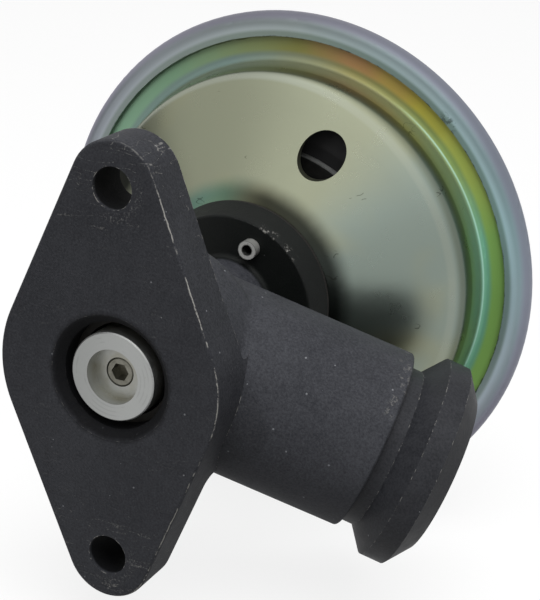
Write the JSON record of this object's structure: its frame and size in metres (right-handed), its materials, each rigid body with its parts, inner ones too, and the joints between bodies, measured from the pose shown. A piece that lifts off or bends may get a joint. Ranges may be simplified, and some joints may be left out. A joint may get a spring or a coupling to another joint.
{
  "type": "exhaust gas recirculation valve",
  "caption": "Vacuum-operated poppet valve for exhaust gas: diamond flange, angled outlet pipe with a band-clamp rim, and a pressed diaphragm can with a vacuum nipple.",
  "frame": {"origin": "centre of the valve seat bore, in the plane of the manifold flange's face", "axes": "+Y along the valve stem from the flange's face to the diaphragm can, +Z along the long axis of the flange, +X towards the side that the outlet pipe leaves"},
  "size_m": [0.0961, 0.095, 0.0928],
  "materials": {
    "cast_body": "rough cast",
    "turned_steel": "turned",
    "dark_steel": "heat stained",
    "olive_zinc": "yellow passivated zinc",
    "bronze": "sintered",
    "seal_rubber": "matt",
    "fibre_gasket": "matt fibre",
    "zinc_steel": "plated"
  },
  "bodies": {
    "housing": {"valve_body": "cast_body", "seat_ring": "dark_steel", "stem_guide": "bronze", "soot_shield": "dark_steel", "stem_seal": "seal_rubber", "seal_retainer": "zinc_steel", "can_gasket": "fibre_gasket", "can_rivets": "zinc_steel", "lower_can": "olive_zinc", "upper_can": "olive_zinc", "vacuum_nipple": "zinc_steel", "spring_seat": "zinc_steel", "bump_stop": "seal_rubber", "diaphragm": "seal_rubber", "return_spring": "zinc_steel"},
    "poppet": {"valve_head": "turned_steel", "lock_screw": "dark_steel", "valve_stem": "turned_steel", "lower_plate": "zinc_steel", "spring_cup": "zinc_steel", "lock_washer": "zinc_steel", "stem_nut": "zinc_steel"}
  },
  "joints": [
    {"name": "valve_lift", "type": "slide", "parent": "housing", "child": "poppet", "axis": [0, 1, 0], "range_m": [0, 0.006], "stiffness_N_per_m": 3000, "springref_m": -0.005, "deforming": ["return_spring", "diaphragm"]}
  ]
}
